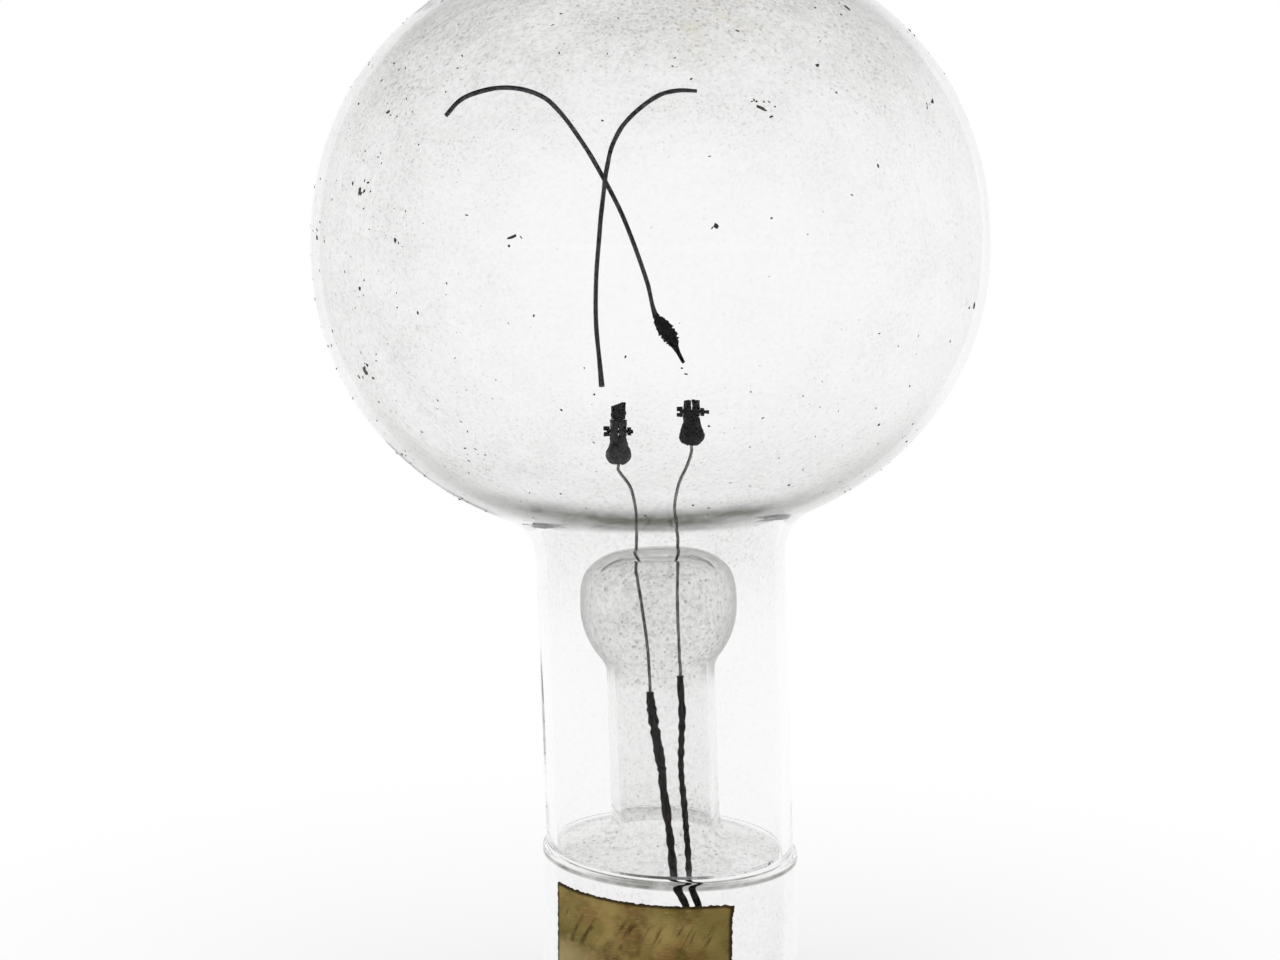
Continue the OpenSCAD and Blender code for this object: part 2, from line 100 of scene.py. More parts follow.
# %% A finish, and the values on it
class Shade:
    """A value that changes over a surface."""

    def __init__(self, finish, socket):
        self.finish, self.socket = finish, socket

    def maths(self, operation, *values, clamp=False):
        return self.finish.node(
            "ShaderNodeMath", {"operation": operation, "use_clamp": clamp}, dict(enumerate(values)))

    def __add__(self, other):
        return self.maths("ADD", self, other)

    def __sub__(self, other):
        return self.maths("SUBTRACT", self, other)

    def __rsub__(self, other):
        return self.maths("SUBTRACT", other, self)

    def __mul__(self, other):
        return self.maths("MULTIPLY", self, other)

    def __truediv__(self, other):
        return self.maths("DIVIDE", self, other)

    def __pow__(self, other):
        return self.maths("POWER", self, other)

    __radd__, __rmul__ = __add__, __mul__

    def size(self):
        return self.maths("ABSOLUTE", self)

    def held(self):
        return self.maths("ADD", self, 0, clamp=True)

    def step(self, low, high, start=0.0, end=1.0):
        """start below low, end above high, and an easy curve between."""
        return self.finish.node(
            "ShaderNodeMapRange", {"interpolation_type": "SMOOTHSTEP"},
            {"Value": self, "From Min": low, "From Max": high, "To Min": start, "To Max": end})


class Finish:
    """One material, or the world: a node tree that is filled by calls."""

    def __init__(self, owner):
        owner.use_nodes = True
        self.owner, self.tree = owner, owner.node_tree
        self.tree.nodes.clear()

    def node(self, kind, settings=None, sockets=None, output=0):
        made = self.tree.nodes.new(kind)
        for name, value in (settings or {}).items():
            setattr(made, name, value)
        for name, value in (sockets or {}).items():
            if isinstance(value, Shade):
                self.tree.links.new(value.socket, made.inputs[name])
            else:
                made.inputs[name].default_value = value
        return Shade(self, made.outputs[output]) if made.outputs else None

    def place(self, x=1.0, y=1.0, z=1.0):
        """Where a point of the object is, in millimetres, stretched as asked."""
        at = self.node("ShaderNodeTexCoord", output=3)
        return self.node("ShaderNodeVectorMath", {"operation": "MULTIPLY"},
                         {0: at, 1: (1000 * x, 1000 * y, 1000 * z)})

    def along(self, axis, at=None):
        return self.node("ShaderNodeSeparateXYZ", sockets={0: at or self.place()}, output="XYZ".index(axis))

    def cloud(self, grain, detail=3.0, at=None):
        """Soft random patches, each about grain millimetres across, from 0 to 1."""
        return self.node("ShaderNodeTexNoise", sockets={
            "Vector": at or self.place(), "Scale": 1 / grain, "Detail": detail, "Roughness": 0.55})

    def dots(self, spacing, radius):
        """1 on small round dots, about one to each cell of the spacing, with soft edges."""
        far = self.node("ShaderNodeTexVoronoi", sockets={"Vector": self.place(), "Scale": 1 / spacing})
        return far.step(radius / spacing * 0.6, radius / spacing, 1.0, 0.0)

    def mix(self, share, first, second):
        """A colour between two others."""
        return self.node("ShaderNodeMix", {"data_type": "RGBA"}, {0: share, 6: first, 7: second}, 2)

    def bump(self, height, depth):
        """The normal of a surface whose height changes by up to depth millimetres."""
        return self.node("ShaderNodeBump", sockets={
            "Height": height, "Strength": 1.0, "Distance": depth / 1000})

    def surface(self, **sockets):
        """The main shader; names are written with _ for a space."""
        made = self.node("ShaderNodeBsdfPrincipled", sockets={
            name.replace("_", " "): value for name, value in sockets.items()})
        self.node("ShaderNodeOutputMaterial", sockets={"Surface": made})
        return self.owner


def finish(name):
    return Finish(bpy.data.materials.new(name))


def tone(red, green, blue):
    """A colour as a screen shows it, from 0 to 255, as the light that it gives back."""
    return tuple((v / 255 / 12.92 if v <= 10 else ((v / 255 + 0.055) / 1.055) ** 2.4)
                 for v in (red, green, blue)) + (1.0,)


print("white is", [round(v, 3) for v in tone(255, 255, 255)])

# %% [markdown]
# ## Turning and sweeping
#
# Blown glass is a turned form: one section that runs up the outside and back down the inside, spun
# about the axis. Because the section closes on itself, the wall has a real thickness and light bends
# in it as it should. A wire is a ring of points carried along a route.


# %% Mesh helpers
def made_piece(name, points, faces, material, node_slot, *nodes):
    """A smooth mesh piece from points in millimetres, standing for CAD nodes."""
    mesh = bpy.data.meshes.new(name)
    mesh.from_pydata([tuple(0.001 * v for v in p) for p in points], [], faces)
    work = bmesh.new()
    work.from_mesh(mesh)
    bmesh.ops.recalc_face_normals(work, faces=work.faces)
    work.to_mesh(mesh)
    work.free()
    mesh.shade_smooth()
    mesh.materials.append(material)
    piece = bpy.data.objects.new(name, mesh)
    bpy.context.scene.collection.objects.link(piece)
    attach(piece, "root")
    if nodes:
        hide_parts(*nodes)
    print(name, "has", sum(len(face) - 2 for face in faces), "triangles")


def turned(section, sides, place):
    """Points and faces of a section spun about the axis, from one pole of it to the other."""
    points, rows, faces = [], [], []
    for radius, height in section:
        count = 1 if radius < 1e-6 else sides
        rows.append([len(points) + k for k in range(count)])
        points += [place(radius, height, 2 * math.pi * k / sides) for k in range(count)]
    for low, high in zip(rows, rows[1:]):
        for k in range(sides):
            n = (k + 1) % sides
            corners = [low[k % len(low)], low[n % len(low)], high[n % len(high)], high[k % len(high)]]
            faces.append(tuple(dict.fromkeys(corners)))
    return points, faces


def swept(rings, sides=16):
    """Points and faces of a bar through rings of (centre, width, thickness, turn)."""
    points, faces = [], []
    for i, (centre, width, thickness, turn) in enumerate(rings):
        ahead = (rings[min(i + 1, len(rings) - 1)][0] - rings[max(i - 1, 0)][0]).normalized()
        side = Vector((0, 1, 0)).cross(ahead).normalized()
        out = ahead.cross(side)
        for k in range(sides):
            angle = 2 * math.pi * k / sides
            flat = Vector((width * math.cos(angle), thickness * math.sin(angle))) / 2
            flat.rotate(Matrix.Rotation(turn, 2))
            points.append(centre + side * flat.x + out * flat.y)
    for i in range(len(rings) - 1):
        for k in range(sides):
            a, b = i * sides + k, i * sides + (k + 1) % sides
            faces.append((a, b, b + sides, a + sides))
    last = len(points) - sides
    faces += [tuple(range(sides))[::-1], tuple(range(last, last + sides))]
    return points, faces


def through(route, steps):
    """A smooth line that passes each point of a route along the line between its neighbours."""
    line = []
    for i in range(len(route) - 1):
        a, b, c, d = (Vector(route[min(max(j, 0), len(route) - 1)]) for j in (i - 1, i, i + 1, i + 2))
        reach = (c - b).length
        leave, arrive = reach * (c - a).normalized(), reach * (d - b).normalized()
        for k in range(steps):
            t = k / steps
            s = 1 - t
            line.append((1 + 2 * t) * s * s * b + t * s * s * leave
                        + t * t * (3 - 2 * t) * c - t * t * s * arrive)
    return line + [Vector(route[-1])]


def bend(a, b, c, steps):
    """Points on a soft bend that leaves a towards b and arrives at c from b."""
    a, b, c = Vector(a), Vector(b), Vector(c)
    return [tuple(a.lerp(b, i / steps).lerp(b.lerp(c, i / steps), i / steps)) for i in range(steps + 1)]


def straight(a, b, steps):
    return [tuple(Vector(a).lerp(Vector(b), i / steps)) for i in range(steps + 1)]


def oval(wide, tall, power, start, end, mid, steps):
    """Points of an oval section between two angles."""
    line = []
    for i in range(steps + 1):
        t = math.radians(start + (end - start) * i / steps)
        line.append((wide * max(0, math.cos(t)) ** (2 / power),
                     mid + tall * math.copysign(abs(math.sin(t)) ** (2 / power), math.sin(t))))
    return line


def oval_angle(radius, wide, power):
    return math.degrees(math.acos((radius / wide) ** (power / 2)))


def oval_height(radius, wide, tall, power):
    return tall * (1 - (radius / wide) ** power) ** (1 / power)


def tidy(section, gap=0.02):
    """The same section without points that fall on each other."""
    kept = [section[0]]
    for point in section[1:]:
        if math.dist(point, kept[-1]) > gap:
            kept.append(point)
    return kept


print("helpers ready")

# %% [markdown]
# ## Dust on glass
#
# A lamp that has lain in a drawer for a century has a thin veil of dust, thickest on the crown, on
# one flank and low on the globe, with a few darker crumbs. Clear glass can only be seen by what is
# on it and by what it bends, so the veil matters more than the glass. It could be a second shell,
# but a faint grey in the glass's own colour costs nothing and takes the light in the same way.


# %% The veil of dust
def veil(glass, heavy):
    """How much dust lies at a point: patches, fine dots and a few coarse ones."""
    patches = glass.cloud(9.0, 4.0).step(0.38, 0.72)
    grain = glass.cloud(0.7, 3.0).step(0.48, 0.66)
    smears = glass.cloud(2.6, 5.0, glass.place(1.0, 1.0, 2.2)).step(0.52, 0.7)
    dots = glass.dots(1.5, 0.26) * glass.cloud(5.0, 2.0).step(0.45, 0.6) + glass.dots(0.8, 0.22) * patches
    return (heavy * (0.2 + 0.25 * patches + 0.45 * grain + 0.25 * smears) + 1.6 * heavy * dots).held()


# %% [markdown]
# ## Clear glass
#
# Besides dust, two marks lie on the envelope. A yellow stain sits near the crown. The seal is a
# thin grey line where two tubes were melted together. The rest is painted shade: a dark band across
# the front of the bend from the globe into the neck, darkest where the surface is seen aslant, which
# is what Layer Weight measures; a grey on the globe's edges just above it; and a fainter grey along
# the globe's rim.
# Real glass bends light more than it does here. The index is kept low on purpose, so that the edges
# stay faint in front of a bright field.


# %% Marks on the envelope
def seen_aslant(glass):
    """0 where a surface faces the eye, 1 where it is seen edge-on."""
    return glass.node("ShaderNodeLayerWeight", sockets={0: 0.5}, output=1)


def stained_crown(glass, colour, x, z):
    place = z.step(124, 131) * x.step(0, 6) * x.step(10, 18, 1.0, 0.0)
    patch = glass.cloud(4.0, 3.0).step(0.45, 0.65) * place
    return glass.mix(patch * 0.4, colour, tone(226, 220, 190))


def painted_bend_shade(glass, colour, aslant, y, z):
    """Painted shade: a dark band across the front of the bend from globe to neck, and a grey on the globe's
    edges just above it.
    """
    # painted shade: a dark band on the front of the bend, darkest where it is seen aslant
    shade_band = z.step(65.3, 66.2) * z.step(68.2, 71.5, 1.0, 0.0)
    grazing_share = aslant.step(0.44, 0.66) * aslant.step(0.74, 0.96, 1.0, 0.3)
    uneven = 0.75 + 0.5 * glass.cloud(3.0, 4.0, glass.place(1.0, 1.0, 3.0))
    front = y.step(-22, -12, 1.0, 0.0)
    colour = glass.mix((shade_band * grazing_share * uneven * front).held(), colour, tone(40, 40, 30))
    # painted shade: grey on the globe's edges just above the bend, where they are seen edge-on
    painted_edge_shade = aslant.step(0.6, 0.84) * z.step(65.8, 67.5) * z.step(70, 84, 1.0, 0.0)
    return glass.mix(painted_edge_shade * 0.5, colour, tone(84, 84, 76))


def seal_line(glass, colour, x, y, z):
    line = (along_seal(x, z) + 0.55).size().step(0.12, 0.42, 1.0, 0.0)
    uneven = glass.cloud(2.5, 3.0).step(0.3, 0.7, 0.7, 1.0) * y.step(-4, 8, 1.0, 0.3)
    return glass.mix((line * uneven).held(), colour, tone(78, 78, 70))


# %% Envelope glass
def clear_glass():
    glass = finish("clear_blown_glass")
    x, y, z = glass.along("X"), glass.along("Y"), glass.along("Z")
    aslant = seen_aslant(glass)
    crown, foot = z.step(104, 134), z.step(64, 84, 1.0, 0.0) * z.step(50, 62)
    flank, skirt = x.step(-40, -12, 1.0, 0.0), z.step(22, 24, 1.0, 0.0)
    # more dust where the glass is seen aslant: partly the veil of dust, partly painted shade on the globe's
    # edges
    edges = aslant * z.step(62, 70)
    dust = veil(glass, 0.06 + 0.26 * edges + 0.5 * crown + 0.2 * flank + 0.2 * foot + 0.14 * skirt)
    colour = glass.mix(dust, (0.985, 0.985, 0.985, 1), tone(184, 184, 182))
    colour = stained_crown(glass, colour, x, z)
    colour = painted_bend_shade(glass, colour, aslant, y, z)
    # painted shade: a fainter grey along the globe's rim, where it is seen edge-on
    rim = aslant.step(0.74, 0.94) * z.step(76, 92)
    colour = glass.mix(rim * 0.22, colour, tone(120, 120, 116))
    colour = seal_line(glass, colour, x, y, z)
    ripple = glass.cloud(14.0, 1.0, glass.place(1.0, 1.0, 0.45))
    return glass.surface(Base_Color=colour, Roughness=0.0, IOR=1.18, Transmission_Weight=1.0,
                         Normal=glass.bump(ripple, 0.25))


# %% [markdown]
# The stem was worked in a flame, which leaves it mottled. The dust lies on the outside of its head
# only, so the finish has to tell the outside from the inside: it measures how far a point is from the
# middle of the head, as a share of the head's own size. The same mask also carries painted shade: a
# grey on the head's edges where it is seen aslant.


# %% Stem glass
def stem_glass():
    glass = finish("stem_glass")
    x, y, z = glass.along("X"), glass.along("Y"), glass.along("Z")
    middle = leaned(-STEM_ASIDE, 0, HEAD_MID)
    rise = z - middle.z
    tall = rise.step(-0.5, 0.5, HEAD_DROP, HEAD_RISE)
    reach = ((x - middle.x) / HEAD_R) ** 2 + (y / HEAD_R) ** 2 + (rise / tall) ** 2
    head, flare = z.step(44, 48) * reach.step(0.93, 0.97), z.step(26, 31, 1.0, 0.0)
    dust = veil(glass, 0.2 + 0.5 * head + 0.42 * flare)
    colour = glass.mix(dust, (0.98, 0.98, 0.98, 1), tone(158, 158, 154))
    # painted shade: grey on the head's edges, where it is seen aslant
    colour = glass.mix(seen_aslant(glass).step(0.35, 0.9) * head * 0.85, colour, tone(116, 116, 112))
    return glass.surface(Base_Color=colour, Roughness=0.0, IOR=1.13, Transmission_Weight=1.0,
                         Normal=glass.bump(glass.cloud(5.0, 2.0), 0.12))


CLEAR, STEM = clear_glass(), stem_glass()
print("glass:", CLEAR.name, STEM.name)

# %% [markdown]
# ## The globe, neck and skirt
#
# The real envelope is two tubes: the globe with its neck, and a slightly wider skirt, melted
# together at the seal. Both are one turned form here. The rings lean above the seal, stand level
# below it, and slope with the hand-made seal between, so that its dark line runs downhill.


# %% The envelope's section
NECK_BEND, TIP_R, TIP_H = 4.5, 0.9, 3.1


def globe_outline(tube, inset, top):
    """From the neck up over the globe to radius top on the crown."""
    wide, rise, drop = GLOBE_R - inset, GLOBE_RISE - inset, GLOBE_DROP - inset
    corner = GLOBE_MID - oval_height(tube, wide, drop, GLOBE_POWER)
    bent = tube + NECK_BEND
    foot = (bent, GLOBE_MID - oval_height(bent, wide, drop, GLOBE_POWER))
    return (bend((tube, corner - NECK_BEND), (tube, corner), foot, 14)
            + oval(wide, drop, GLOBE_POWER, -oval_angle(bent, wide, GLOBE_POWER), 0, GLOBE_MID, 44)
            + oval(wide, rise, GLOBE_POWER, 0, oval_angle(top, wide, GLOBE_POWER), GLOBE_MID, 52))


def envelope_section():
    crown = GLOBE_MID + GLOBE_RISE
    pip = bend((3.0, GLOBE_MID + oval_height(3.0, GLOBE_R, GLOBE_RISE, GLOBE_POWER)),
               (TIP_R, crown), (TIP_R, crown + TIP_H), 12)
    tip = [(TIP_R * math.cos(a), crown + TIP_H + TIP_R * math.sin(a))
           for a in (math.radians(15 * k) for k in range(1, 6))] + [(0.0, crown + TIP_H + TIP_R)]
    shoulder = bend((SKIRT_R, -0.55), (SKIRT_R, 0.0), (NECK_R + 0.25, 0.0), 4) + bend(
        (NECK_R + 0.2, 0.02), (NECK_R, 0.05), (NECK_R, 0.3), 4)
    outside = (bend((SKIRT_R - RIM, -SKIRT_H), (SKIRT_R, -SKIRT_H), (SKIRT_R, RIM - SKIRT_H), 6)
               + straight((SKIRT_R, RIM - SKIRT_H), (SKIRT_R, -0.55), 22) + shoulder
               + straight((NECK_R, 0.3), (NECK_R, 30), 30) + globe_outline(NECK_R, 0, 3.0) + pip + tip)
    bore, neck_bore = SKIRT_R - SKIRT_WALL, NECK_R - NECK_WALL
    inside = (bend((bore + RIM, -SKIRT_H), (bore, -SKIRT_H), (bore, RIM - SKIRT_H), 6)
              + straight((bore, RIM - SKIRT_H), (bore, -0.35), 22)
              + bend((bore, -0.3), (bore, 0.0), (neck_bore, 0.1), 4)
              + straight((neck_bore, 0.3), (neck_bore, 30), 30) + globe_outline(neck_bore, GLOBE_WALL, 0.0))
    return tidy(outside[::-1] + inside)


def envelope_place(radius, height, angle):
    """Leans above the seal, level below it, and sloped where they meet."""
    if radius < 1e-6:
        return leaned(0, 0, height)
    x, y = radius * math.cos(angle), radius * math.sin(angle)
    if height > 6:
        return leaned(x, y, height)
    tilt = (-SLOPE) * soft(-6, -0.6, height) + (LEAN + SLOPE) * soft(0.6, 6, height)
    axis = SEAL + Vector((-height * math.sin(LEAN) if height > 0 else 0, 0, height))
    return axis + Vector((x, y, x * math.tan(tilt)))


points, faces = turned(envelope_section(), 192, envelope_place)
made_piece("blown_envelope", points, faces, CLEAR, "clear_glass", "glass_envelope")

# %% [markdown]
# ## The stem
#
# The stem is the part that made such a lamp possible: a tube with a bulged head that closes on the
# two wires, and a flare that is melted to the neck. The flare is trimmed to the neck's bore and to
# the slope of the seal, which a turned form alone cannot do, so its points are pulled in afterwards.
# It is thin and tapers to its edge: a round, thick edge would work as a lens and draw a black arc.


# %% The stem's section
def stem_section():
    """Down the outside from the top of the head to the flare's edge, and back up the inside."""
    inner, inner_drop, inner_rise = HEAD_R - HEAD_WALL, HEAD_DROP - HEAD_WALL, HEAD_RISE - 1.6
    under = HEAD_MID - oval_height(STEM_R, HEAD_R, HEAD_DROP, 2)
    inside = HEAD_MID - oval_height(STEM_BORE, inner, inner_drop, 2)
    neck, throat = STEM_R + 1, STEM_BORE + 1
    outer_line = (oval(HEAD_R, HEAD_RISE, HEAD_POWER, 90, 0, HEAD_MID, 24)
                  + oval(HEAD_R, HEAD_DROP, 2, 0, -oval_angle(neck, HEAD_R, 2), HEAD_MID, 18)
                  + bend((neck, HEAD_MID - oval_height(neck, HEAD_R, HEAD_DROP, 2)),
                         (STEM_R, under), (STEM_R, under - 1), 8)
                  + straight((STEM_R, under - 1.2), (STEM_R, 4.2), 14)
                  + bend((STEM_R, 4.0), (STEM_R + 0.4, 0.6), (FLARE_R, 0.14), 24))
    inner_line = (bend((FLARE_R, 0.0), (STEM_R, 0.1), (STEM_BORE, 2.5), 16)
                  + straight((STEM_BORE, 2.7), (STEM_BORE, inside - 1.2), 14)
                  + bend((STEM_BORE, inside - 1), (STEM_BORE, inside),
                         (throat, HEAD_MID - oval_height(throat, inner, inner_drop, 2)), 8)
                  + oval(inner, inner_drop, 2, -oval_angle(throat, inner, 2), 0, HEAD_MID, 18)
                  + oval(inner, inner_rise, HEAD_POWER, 0, 90, HEAD_MID, 24))
    return tidy(outer_line + inner_line)


def stem_place(radius, height, angle):
    """Off centre by a little, kept inside the neck's bore and above the seal."""
    x, y = radius * math.cos(angle) - STEM_ASIDE, radius * math.sin(angle)
    far = math.hypot(x, y)
    if far > FLARE_R:
        x, y = (v * FLARE_R / far for v in (x, y))
    point = leaned(x, y, height)
    sloped = SEAL + Vector((x, y, max(height, 0.02) - x * math.tan(SLOPE)))
    return sloped.lerp(point, soft(1.5, 7.0, height))


points, faces = turned(stem_section(), 128, stem_place)
made_piece("lamp_stem", points, faces, STEM, "stem_glass", "stem_tube")

# %% [markdown]
# ## The metals
#
# Platinum stays grey for ever. Copper that has been through the flame turns brown-black, with a
# little of its own colour where it was handled. The clamps and their screws are blackened metal.
# None of them is one flat colour: a broad patchy tone, fine pitting and a changing gloss make
# each of them read as metal that was worked by hand.


# %% Metal and crusted carbon finishes
def old_metal(name, light, dark, metallic, gloss, grain, pits):
    """Worked metal: two tones in patches, pits, and a gloss that follows them."""
    metal = finish(name)
    patch = metal.cloud(grain, 4.0).step(0.35, 0.65)
    pit = metal.cloud(grain * 0.22, 3.0).step(0.5, 0.7)
    colour = metal.mix((patch * 0.8 + pit * 0.4).held(), light, dark)
    return metal.surface(Base_Color=colour, Metallic=metallic, Specular_IOR_Level=0.35 * metallic,
                         Roughness=(gloss + 0.18 * patch + 0.12 * pit).held(),
                         Normal=metal.bump(pit * 0.6 + patch * 0.4, pits))


PLATINUM = old_metal("dull_platinum", tone(150, 150, 146), tone(104, 103, 96), 0.9, 0.34, 1.2, 0.02)
SOLDER = old_metal("dark_solder", tone(52, 46, 42), tone(12, 10, 10), 0.3, 0.5, 0.7, 0.05)
COPPER = old_metal("tarnished_copper", tone(48, 33, 27), tone(10, 8, 7), 0.3, 0.5, 0.9, 0.05)
# the left clamp's metal is given a lighter tone than the right clamp's
LEFT_CLAMP = old_metal("lighter_clamp_metal", tone(74, 74, 77), tone(20, 20, 22), 0.35, 0.42, 1.1, 0.06)
RIGHT_CLAMP = old_metal("black_clamp_metal", tone(22, 22, 26), tone(6, 6, 8), 0.3, 0.45, 1.1, 0.06)
SCREW = old_metal("black_screw_metal", tone(30, 30, 33), tone(8, 8, 9), 0.3, 0.42, 0.8, 0.03)
STUB = old_metal("crusted_carbon", tone(50, 50, 53), tone(14, 14, 15), 0.15, 0.5, 0.5, 0.05)
print("metals:", PLATINUM.name, COPPER.name, LEFT_CLAMP.name, STUB.name)

# %% [markdown]
# ## Lead wires
#
# Each lead is platinum where it goes through the glass, then a lumpy soldered joint, then thick
# copper. A swept ring follows the same route as in the CAD model. Drawn wire is even, so only the
# solder and the copper swell and thin along their length. The lower right lead was twisted from
# two strands, which is an oval ring that turns as it goes.


# %% Routes as (across, height above the seal, thickness)
FINE = 0.4


def through_head(x):
    return [(x, HEAD_TOP + past, FINE) for past in (1.4, 0.4, -2.4, -3.4)]


def into_clamp(x, z):
    return [(x, z + past, FINE) for past in (1.16, 0, -0.6)]


def end_at(x, z, thick):
    return [(x, z + 0.6, thick), (x, z + 0.3, thick), (x, z, thick)]


def start_at(x, z, thick):
    return [(x, z, thick), (x, z - 0.3, thick), (x, z - 0.6, thick)]


LEFT_CLAMP_AT, RIGHT_CLAMP_AT = (-6.45, 47.8), (2.65, 50.2)
left_platinum = (into_clamp(*LEFT_CLAMP_AT) + [(-4.9, 44.9, FINE), (-4.3, 42, FINE)] + through_head(-4.25)
                 + [(-3.5, 30, FINE), (-2.8, 24.5, FINE)] + end_at(-2.5, 19.4, FINE))
right_platinum = (into_clamp(*RIGHT_CLAMP_AT) + [(2.1, 47.8, FINE), (1, 45.2, FINE), (0.6, 42.5, FINE)]
                  + through_head(0.9) + [(0.9, 30, FINE), (1.1, 25.5, FINE)] + end_at(1.25, 21.6, FINE))
left_joint = (start_at(-2.5, 19.4, 1.1) + [(-2.2, 16.5, 1.45), (-1.7, 13.5, 1.25), (-1.2, 10.6, 1.45)]
              + end_at(-0.95, 8.6, 1.1))
right_joint = start_at(1.25, 21.6, 0.95) + [(1.35, 19.2, 1.05), (1.45, 18, 0.9)] + end_at(1.5, 16.6, 0.95)
left_copper = (start_at(-0.95, 8.6, 1.1)
               + [(-0.6, 5.5, 1.1), (0, 1, 1.0), (0.5, -3.4, 1.1), (0.9, -5.6, 1.1), (2, -7.8, 1.0),
                  (2.7, -11.5, 1.1)] + end_at(3, -21, 1.1))
right_copper = (start_at(1.5, 16.6, 0.95)
                + [(1.4, 13, 0.95), (1.4, 9.5, 0.85), (1.8, 5, 0.95), (2.2, 0, 0.85), (2.6, -5.2, 0.95),
                   (3.6, -7.8, 0.95), (4.4, -11.5, 0.85)] + end_at(4.8, -21, 0.95))
print("left copper has", len(left_copper), "points, right", len(right_copper))


# %% Wires
def wire(name, route, steps, lumps, strands, material, node_slot, node):
    """A round wire; lumps is how much it swells, strands the distance over which it turns once."""
    line = through(route, steps)
    rings, run = [], 0.0
    for i, (x, height, thick) in enumerate(line):
        if i:
            run += math.dist(line[i][:2], line[i - 1][:2])
        swell = 1 + lumps * (noise.noise(Vector((run * 0.9, thick * 7, len(route)))) - 0.25)
        wide = thick * min(swell, 1.12)
        oval_share = (0.76 if height > -6 else 0.94) if strands else 1.0
        turn = math.pi * run / strands if strands else 0.0
        rings.append((SEAL + Vector((x, 0, height)), wide, wide * oval_share, turn))
    points, faces = swept(rings, 12)
    made_piece(name, points, faces, material, node_slot, node)


wire("left_platinum_wire", left_platinum, 10, 0.03, 0, PLATINUM, "platinum", "left_platinum_lead")
wire("right_platinum_wire", right_platinum, 10, 0.03, 0, PLATINUM, "platinum", "right_platinum_lead")
wire("left_soldered_joint", left_joint, 18, 0.36, 0, SOLDER, "solder", "left_lead_joint")
wire("right_soldered_joint", right_joint, 18, 0.3, 0, SOLDER, "solder", "right_lead_joint")
wire("left_copper_wire", left_copper, 24, 0.32, 0, COPPER, "aged_copper", "left_copper_lead")
wire("right_copper_wire", right_copper, 36, 0.12, 1.6, COPPER, "aged_copper", "right_copper_lead")

# %% [markdown]
# ## Clamps and their screws
#
# The clamps are smaller than a pea: a pear-shaped body, a loose jaw, a slotted cross screw and its
# nut. Their edges are soft from casting and corrosion. The exact CAD shape is right but too crisp,
# so each is laid out anew in fine cells from it, eased a little, and roughened with a small noise.


# %% Worn copies of small hard pieces
def worn(name, node, cell, ease, rough, grain, material, node_slot):
    """A copy of a CAD node in fine cells, with eased edges and a rough skin."""
    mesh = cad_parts[node].data.copy()
    mesh.transform(Matrix.Scale(1000, 4))
    blank = bpy.data.objects.new(name + "_blank", mesh)
    bpy.context.scene.collection.objects.link(blank)
    cells = blank.modifiers.new("cells", "REMESH")
    cells.mode, cells.voxel_size = "VOXEL", cell
    eased = blank.modifiers.new("eased", "SMOOTH")
    eased.factor, eased.iterations = 0.5, ease
    drawn = blank.evaluated_get(bpy.context.evaluated_depsgraph_get()).to_mesh()
    points = []
    for vertex in drawn.vertices:
        push = rough * (noise.noise(vertex.co / grain) + 0.5 * noise.noise(vertex.co * 2.7 / grain) - 0.2)
        points.append(vertex.co + vertex.normal * push)
    faces = [tuple(face.vertices) for face in drawn.polygons]
    bpy.data.objects.remove(blank)
    made_piece(name, points, faces, material, node_slot, node)


for side, body_metal in (("left", LEFT_CLAMP), ("right", RIGHT_CLAMP)):
    worn(f"{side}_pear_body", f"{side}_clamp_body", 0.06, 4, 0.14, 0.8, body_metal, "clamp_metal")
    worn(f"{side}_loose_jaw", f"{side}_clamp_jaw", 0.05, 3, 0.12, 0.6, body_metal, "clamp_metal")
    worn(f"{side}_cross_screw", f"{side}_clamp_screw", 0.035, 14, 0.06, 0.5, SCREW, "screw_metal")
    worn(f"{side}_screw_nut", f"{side}_clamp_nut", 0.03, 5, 0.06, 0.4, SCREW, "screw_metal")
worn("carbon_stub", "left_filament_stub", 0.05, 3, 0.16, 0.6, STUB, "carbon")

# %% [markdown]
# ## The snapped filament
#
# The filament was one thick arch of carbonised fibre. It broke in two places when the lamp died.
# The long piece still has the widened tab that sat in its clamp, and the short one crosses over it.
# Both lie on the far wall, so each point is found from its height on the globe and then leaned.
# Baked fibre is a dull dark grey; only the tab, crusted where the clamp held it, is black.


# %% Carbon finish
def burnt_carbon():
    """Grey baked fibre, black at the tab that sat in its clamp."""
    carbon = finish("burnt_carbon")
    patch, pit = carbon.cloud(0.5, 4.0).step(0.35, 0.65), carbon.cloud(0.11, 3.0).step(0.5, 0.7)
    tab = carbon.along("X").step(-3, -1) * carbon.along("Z").step(90, 91.2, 1.0, 0.0)
    colour = carbon.mix((patch * 0.8 + pit * 0.4).held(), tone(104, 104, 108), tone(60, 60, 62))
    colour = carbon.mix(tab, colour, tone(14, 14, 15))
    return carbon.surface(Base_Color=colour, Roughness=(0.5 + 0.2 * patch).held(), Specular_IOR_Level=0.1,
                          Normal=carbon.bump(pit * 0.6 + patch * 0.4, 0.04))


CARBON = burnt_carbon()
print("carbon:", CARBON.name)

